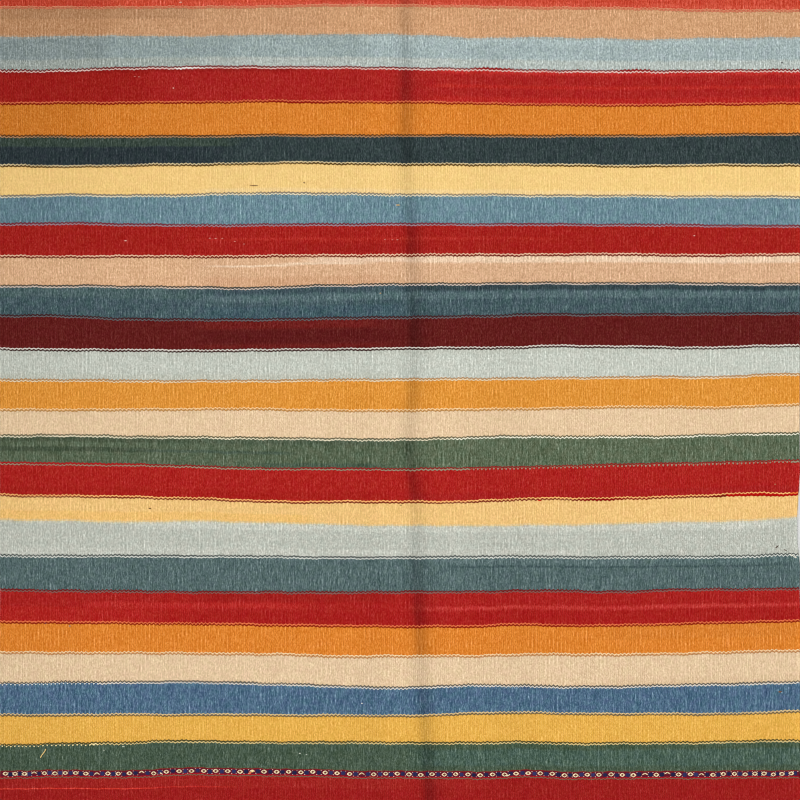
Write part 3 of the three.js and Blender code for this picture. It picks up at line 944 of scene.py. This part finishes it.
def addNode(tree, kind, inputs, **settings):
    made = tree.nodes.new("ShaderNode" + kind)
    for key, value in settings.items():
        setattr(made, key, value)
    feed(made.inputs, inputs)
    return made.outputs


def calc(operation, *values):
    tree = next(value.id_data for value in values if isinstance(value, bpy.types.NodeSocket))
    return addNode(tree, "Math", dict(enumerate(values)), operation=operation)[0]


def times(a, b):
    return calc("MULTIPLY", a, b)


def minus(a, b):
    return calc("SUBTRACT", a, b)


def timesPlus(a, b, c):
    return calc("MULTIPLY_ADD", a, b, c)


def centred(share):
    # From -1 to 1 where the share runs from 0 to 1
    return timesPlus(share, 2.0, -1.0)


def noiseAt(tree, x, y, detail, dimensions="3D"):
    at = addNode(tree, "CombineXYZ", {0: x, 1: y})[0]
    settings = {"Vector": at, "Scale": 1.0, "Detail": detail}
    return addNode(tree, "TexNoise", settings, noise_dimensions=dimensions)[0]


def newGroup(name, inputs, outputs):
    # inputs: names with their constants, or None for a vector
    group = bpy.data.node_groups.new(name, "ShaderNodeTree")
    for label, value in inputs.items():
        kind = {type(None): "Vector", float: "Float", tuple: "Color"}[type(value)]
        socket = group.interface.new_socket(label, in_out="INPUT", socket_type="NodeSocket" + kind)
        if value is not None:
            socket.default_value = value
    for label in outputs:
        kind = "Color" if label == "Colour" else "Float"
        group.interface.new_socket(label, in_out="OUTPUT", socket_type="NodeSocket" + kind)
    return group, group.nodes.new("NodeGroupInput").outputs, group.nodes.new("NodeGroupOutput").inputs


def useGroup(tree, name, inputs):
    return addNode(tree, "Group", inputs, node_tree=bpy.data.node_groups[name])


def makeWeftWeave():
    # Weft stitches over the ribs, those of every other rib half a stitch lower
    group, given, result = newGroup("weftWeave", {"Weave": None}, ("Height", "Stitch", "Rib", "Crest"))
    weave = addNode(group, "SeparateXYZ", {0: given["Weave"]})
    rib, side = calc("FLOOR", weave["X"]), calc("FLOOR", times(weave["X"], 2.0))
    stitch = timesPlus(calc("PINGPONG", rib, 1.0), 0.5, weave["Y"])
    overStitch, overRib = centred(calc("FRACT", stitch)), centred(calc("FRACT", weave["X"]))
    bead = minus(1.0, times(overStitch, overStitch))
    dome = timesPlus(times(overRib, overRib), -wool["ribDome"], 1.0)
    cell = addNode(group, "CombineXYZ", {0: side, 1: calc("FLOOR", stitch)})[0]
    chance = addNode(group, "TexWhiteNoise", {"Vector": cell}, noise_dimensions="2D")["Value"]
    crest = calc("COSINE", times(overRib, math.pi))
    feed(result, {"Height": times(bead, dome), "Stitch": chance, "Rib": rib, "Crest": crest})


# How the tone of the wool wanders: the strength of each kind of streak, and how fast it changes from stitch
# to stitch along the warp
grain = {
    "stitches": 1.1,
    "sideStreaks": [(0.7, 0.5), (0.6, 0.13)],  # of half a rib each, short ones and long ones
    "ribStreaks": (0.9, 0.35),  # on the crests of single ribs
    "slowRibs": (0.5, 0.09),
    "patches": (1.7, 0.14),  # where every other rib is paler
    "patchLean": 0.6,
    # crests: painted light on each rib's crest and painted shade in the grooves beside it
    "crests": 0.35,
    "picks": 0.62,
    "hue": 0.16,
    "leastStreaks": 0.35,  # of the short streaks, in wool without long ones
    "acrossPatch": 65.0,  # changes a metre across the rug
    "acrossPick": 13.0,
    "acrossHue": 90.0,
}


def makeYarnTone():
    # Tone of the wool around 1, stitch by stitch, rib by rib and pick by pick, with painted light on the rib
    # crests and painted shade in their grooves, and how its hue wanders
    group, given, result = newGroup("yarnTone", {
        "Weave": None, "Place": None, "Mottle": 0.1, "Ribs": 0.1, "Picks": 0.05, "Heather": 0.02,
        "Streaks": 1.0,
    }, ("Tone", "Hue"))
    woven = useGroup(group, "weftWeave", {"Weave": given["Weave"]})
    weave = addNode(group, "SeparateXYZ", {0: given["Weave"]})
    placeX = addNode(group, "SeparateXYZ", {0: given["Place"]})["X"]

    def streak(across, pace, detail=1.0):
        # Smooth noise from about -1 to 1
        return timesPlus(noiseAt(group, across, times(weave["Y"], pace), detail, "2D"), 4.0, -2.0)

    # Steps between ribs and shifts between the kinds of streak are long, so that none looks like another
    ownRib = times(woven["Rib"], 7.37)
    ownSide = times(calc("FLOOR", times(weave["X"], 2.0)), 5.71)
    everyOther = centred(calc("PINGPONG", woven["Rib"], 1.0))
    some = timesPlus(given["Streaks"], 1 - grain["leastStreaks"], grain["leastStreaks"])
    tone = timesPlus(woven["Stitch"], grain["stitches"], -grain["stitches"] / 2)
    for (strength, pace), shift, share in zip(grain["sideStreaks"], (0.0, 31.4), (some, given["Streaks"])):
        tone = timesPlus(times(streak(calc("ADD", ownSide, shift), pace), strength), share, tone)
    strength, pace = grain["ribStreaks"]
    ribStreak = times(streak(calc("ADD", ownRib, 77.7), pace), times(some, strength))
    tone = timesPlus(ribStreak, woven["Crest"], tone)
    strength, pace = grain["patches"]
    patch = timesPlus(streak(times(placeX, grain["acrossPatch"]), pace), strength, grain["patchLean"])
    strength, pace = grain["slowRibs"]
    slowRib = times(streak(ownRib, pace), times(some, strength))
    # Painted light and shade across each rib, with every other rib paler in patches, and slow streaks
    ribShadeAndTone = timesPlus(timesPlus(everyOther, patch, grain["crests"]), woven["Crest"], slowRib)
    pickTone = streak(times(placeX, grain["acrossPick"]), grain["picks"], 2.0)
    total = timesPlus(ribShadeAndTone, given["Ribs"], times(tone, given["Mottle"]))
    hue = streak(times(placeX, grain["acrossHue"]), grain["hue"])
    feed(result, {
        "Tone": calc("EXPONENT", timesPlus(pickTone, given["Picks"], total)),
        "Hue": timesPlus(hue, given["Heather"], 0.5),
    })


def makeDyedYarn():
    # Uneven wool is paler or darker by a like step in every channel of its seen colour, and the painted light
    # and shade of the crease and the selvedges scale it
    group, given, result = newGroup(
        "dyedYarn", {"Dye": (0.5, 0.5, 0.5, 1), "Tone": 1.0, "PaintedLight": 1.0, "Hue": 0.5}, ("Colour",)
    )
    gamma, darkest = 2.2, (0.02, 0.02, 0.02)
    paintedShading = {"Color": given["Dye"], "Value": given["PaintedLight"], "Hue": given["Hue"]}
    seen = addNode(group, "Gamma", {"Color": addNode(group, "HueSaturation", paintedShading)[0], "Gamma": 1 / gamma})[0]
    grey = addNode(group, "RGBToBW", {"Color": seen})[0]
    paler = times(minus(calc("POWER", given["Tone"], 1 / gamma), 1.0), grey)
    stepped = addNode(group, "VectorMath", {0: seen, 1: paler}, operation="ADD")[0]
    stepped = addNode(group, "VectorMath", {0: stepped, 1: darkest}, operation="MAXIMUM")[0]
    feed(result, {"Colour": addNode(group, "Gamma", {"Color": stepped, "Gamma": gamma})[0]})


def makePaintedCreaseShade():
    # 0 to 1 along the sharp line of the crease, wider on its right: the mask of the painted shade there
    group, given, result = newGroup("creaseShadeMask", {
        "Offset": 0.0, "Weave": None, "Line": 0.0135, "Left": 0.005, "Right": 0.014, "Wobble": 0.005,
        "Pace": 0.09,
    }, ("Mask",))
    stitch = addNode(group, "SeparateXYZ", {0: given["Weave"]})["Y"]
    noise = noiseAt(group, 0.0, times(stitch, given["Pace"]), 1.0)
    away = minus(given["Offset"], timesPlus(minus(noise, 0.5), given["Wobble"], given["Line"]))
    onLeft, onRight = calc("DIVIDE", times(away, -1.0), given["Left"]), calc("DIVIDE", away, given["Right"])
    share = calc("MAXIMUM", onRight, onLeft)
    feed(result, {"Mask": calc("EXPONENT", times(times(share, share), -1.0))})


def makeEdgePaintedLight():
    # Tone of the selvedges: the right one is painted paler, as painted light against the shade on its outer
    # slope, and the left one is darker at its very edge
    group, given, result = newGroup("edgePaintedLight", {
        "Place": None, "Edge": 0.4772, "Soft": 0.0012, "Outer": 0.4802, "Paler": 0.17, "Darker": 0.25,
    }, ("Tone",))
    x = addNode(group, "SeparateXYZ", {0: given["Place"]})["X"]
    inner = calc("ADD", given["Edge"], given["Soft"])
    edgeLight = addNode(group, "MapRange", {"Value": x, "From Min": given["Edge"], "From Max": inner})[0]
    onLeft = times(x, -1.0)
    outerEdge = addNode(group, "MapRange", {"Value": onLeft, "From Min": inner, "From Max": given["Outer"]})[0]
    feed(result, {"Tone": minus(timesPlus(edgeLight, given["Paler"], 1.0), times(outerEdge, given["Darker"]))})


def makeAbrashBand():
    # 0 to 1 inside one streak of a stripe, with soft ragged sides
    group, given, result = newGroup("abrashBand", {
        "Place": None, "From": 0.0, "To": 1.0, "Left": -1.0, "Right": 1.0, "Softness": 0.05, "Ragged": 0.1,
        "Fade": 0.02, "Rags": 60.0,
    }, ("Mask",))
    place = addNode(group, "SeparateXYZ", {0: given["Place"]})
    noise = noiseAt(group, times(place["X"], given["Rags"]), 0.0, 3.0)
    share = timesPlus(minus(noise, 0.5), given["Ragged"], place["Y"])

    def step(value, edge, soft):
        ends = {"Value": value, "From Min": minus(edge, soft), "From Max": calc("ADD", edge, soft)}
        return addNode(group, "MapRange", ends, interpolation_type="SMOOTHSTEP")[0]

    def between(value, first, last, soft):
        return times(step(value, first, soft), minus(1.0, step(value, last, soft)))

    downwards = between(share, given["From"], given["To"], given["Softness"])
    across = between(place["X"], given["Left"], given["Right"], given["Fade"])
    feed(result, {"Mask": times(downwards, across)})


def makePlyTwist():
    # Slanting strands of a two-ply yarn, and how its tone wanders
    inputs = {"Weave": None, "Turns": 1.0, "Pace": 1.3}
    group, given, result = newGroup("plyTwist", inputs, ("Height", "Tone"))
    weave = addNode(group, "SeparateXYZ", {0: given["Weave"]})
    turn = times(timesPlus(weave["X"], given["Turns"], weave["Y"]), 2 * math.pi)
    noise = noiseAt(group, times(weave["X"], given["Pace"]), weave["Y"], 2.0)
    feed(result, {"Height": timesPlus(calc("SINE", turn), 0.5, 0.5), "Tone": timesPlus(noise, 0.8, 0.6)})


for makeGroup in (makeWeftWeave, makeYarnTone, makeDyedYarn, makePaintedCreaseShade, makeEdgePaintedLight, makeAbrashBand,
                  makePlyTwist):
    makeGroup()


# Materials

def newMaterial(name, specular):
    material = bpy.data.materials.new(name)
    material.use_nodes = True
    shader = material.node_tree.nodes["Principled BSDF"].inputs
    feed(shader, {"Specular IOR Level": specular})
    return material, material.node_tree, shader


def finishWool(tree, shader, colour, height, depth):
    grooves, stitches = wool["roughness"]
    rough = addNode(tree, "MapRange", {"Value": height, "To Min": grooves, "To Max": stitches})[0]
    bump = addNode(tree, "Bump", {"Height": height, "Distance": depth, "Strength": 1.0})[0]
    feed(shader, {
        "Base Color": colour, "Roughness": rough, "Normal": bump, "Sheen Weight": wool["sheen"],
        "Sheen Roughness": wool["sheenRoughness"],
    })


def stripeWool(yarn):
    # The woven wool of one stripe
    material, tree, shader = newMaterial(yarn["name"] + "Wool", wool["specular"])
    weave = addNode(tree, "UVMap", {}, uv_map="weave")[0]
    place = addNode(tree, "UVMap", {}, uv_map="stripePlace")[0]
    offset = addNode(tree, "Attribute", {}, attribute_name="creaseOffset")["Fac"]
    strengths = {name.capitalize(): yarn[name] for name in ("mottle", "ribs", "picks", "heather")}
    streaks = wool["streaks"][yarn["kind"]]
    spun = useGroup(tree, "yarnTone", {"Weave": weave, "Place": place, "Streaks": streaks, **strengths})
    # Painted shade along the crease, deeper for dark wool, on top of the shading that the cloth's lift gives
    paintedShading = useGroup(tree, "creaseShadeMask", {"Offset": offset, "Weave": weave})["Mask"]
    most, lessIfPale = wool["creaseShadeDepth"]
    creaseShadeDepth = most - lessIfPale * (sum(yarn["colour"]) / (3 * 255)) ** 2
    # Painted light on the right selvedge, and a darker outer edge on the left one
    edgeLight = useGroup(tree, "edgePaintedLight", {"Place": place})["Tone"]
    paintedLightTone = times(edgeLight, timesPlus(paintedShading, -creaseShadeDepth, 1.0))
    dye = dyeOf(yarn["colour"])
    for top, bottom, left, right, shade, strength, *softness in yarn["bands"]:
        soft = softness[0] if softness else wool["bandSoftness"]
        mask = useGroup(tree, "abrashBand", {
            "Place": place, "From": top, "To": bottom, "Left": left * mm, "Right": right * mm,
            "Softness": soft, "Ragged": 2 * soft,
        })["Mask"]
        dye = addNode(tree, "MixRGB", {0: times(mask, strength), 1: dye, 2: dyeOf(shade)})[0]
    inputs = {"Dye": dye, "Tone": spun["Tone"], "PaintedLight": paintedLightTone, "Hue": spun["Hue"]}
    height = useGroup(tree, "weftWeave", {"Weave": weave})["Height"]
    finishWool(tree, shader, useGroup(tree, "dyedYarn", inputs)["Colour"], height, wool["stitchDepth"])
    return material


def lineWool():
    # The thicker picks of the wavy lines, each in the colour of its own yarn
    material, tree, shader = newMaterial("lineWool", wool["specular"])
    weave = addNode(tree, "UVMap", {}, uv_map="weave")[0]
    own = addNode(tree, "Attribute", {}, attribute_name="yarnColour")["Color"]
    twist = useGroup(tree, "plyTwist", {"Weave": weave})
    colour = useGroup(tree, "dyedYarn", {"Dye": own, "Tone": twist["Tone"]})["Colour"]
    finishWool(tree, shader, colour, twist["Height"], wool["twistDepth"])
    return material


# Studio

def addToScene(name, data):
    made = bpy.data.objects.new(name, data)
    bpy.context.scene.collection.objects.link(made)
    return made


def makeCamera():
    camera = addToScene("camera", bpy.data.cameras.new("camera"))
    camera.data.lens, camera.data.sensor_width, camera.data.clip_end = view["lens"], view["sensor"], 100
    camera.location = (*view["middle"], view["seen"] * view["lens"] / view["sensor"])
    bpy.context.scene.camera = camera


def makeLights():
    world = bpy.data.worlds.new("paleRoom")
    world.use_nodes = True
    feed(world.node_tree.nodes["Background"].inputs, {"Color": (1, 1, 1, 1), "Strength": studio["sky"]})
    bpy.context.scene.world = world
    key = addToScene("keyLight", bpy.data.lights.new("keyLight", "SUN"))
    key.data.energy, key.data.angle = studio["keyStrength"], math.radians(studio["keySoftness"])
    x, y, z = studio["keyFrom"]
    key.rotation_euler = (math.atan2(math.hypot(x, y), z), 0, math.atan2(x, -y))
    fill = addToScene("fillLight", bpy.data.lights.new("fillLight", "SPOT"))
    fill.data.energy, fill.data.shadow_soft_size = studio["fillPower"], studio["fillRadius"]
    fill.data.spot_size = 2 * math.atan(studio["fillReach"] / studio["fillAt"][2])
    fill.data.spot_blend = studio["fillBlend"]
    fill.location = studio["fillAt"]


def makeFloor():
    half, depth = studio["floorSize"] / 2, studio["floorDepth"]
    corners = [(-half, -half, depth), (half, -half, depth), (half, half, depth), (-half, half, depth)]
    floor = meshPiece("floor", corners, [(0, 1, 2, 3)])
    material, tree, shader = newMaterial("floorPaint", 0.1)
    noise = addNode(tree, "TexNoise", {"Scale": 40.0})[0]
    feed(shader, {"Base Color": (*studio["floorColour"], 1), "Roughness": timesPlus(noise, 0.1, 0.85)})
    floor.data.materials.append(material)


# Building

makeCamera()
makeLights()
makeFloor()
print("studio ready")

cloth = makeCloth()
for yarn in stripeYarns:
    cloth.data.materials.append(stripeWool(yarn))
print("cloth:", len(cloth.data.polygons), "faces,", len(stripeYarns), "stripes")

wavyNumbers = [number for number, row in enumerate(stripeLines) if row[0] == "wavy"]
linesInPiece = 8
wovenOver = []
for name in ("linesUpper", "linesMiddle", "linesLower"):
    chosen, wavyNumbers = wavyNumbers[:linesInPiece], wavyNumbers[linesInPiece:]
    wovenOver.append(makeTubes(name, [tube for number in chosen for tube in wavyTubes(number)]))
print("wavy lines:", sum(len(piece.data.polygons) for piece in wovenOver), "faces")

wovenOver.append(makeTubes("chainGround", chainTubes()))
wovenOver.append(makeStitches("chainDiamonds", chainStitches()))
print("diamond chain:", len(wovenOver[-1].data.polygons), "faces")
wovenOver.append(makeStitches("flecks", fleckStitches()))

lineMaterial = lineWool()
for piece in wovenOver:
    piece.data.materials.append(lineMaterial)
for piece in [cloth, *wovenOver]:
    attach(piece, "root")
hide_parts("rug")

scene = bpy.context.scene
scene.view_settings.view_transform = "Standard"
scene.cycles.filter_width = view["pixelFilter"]
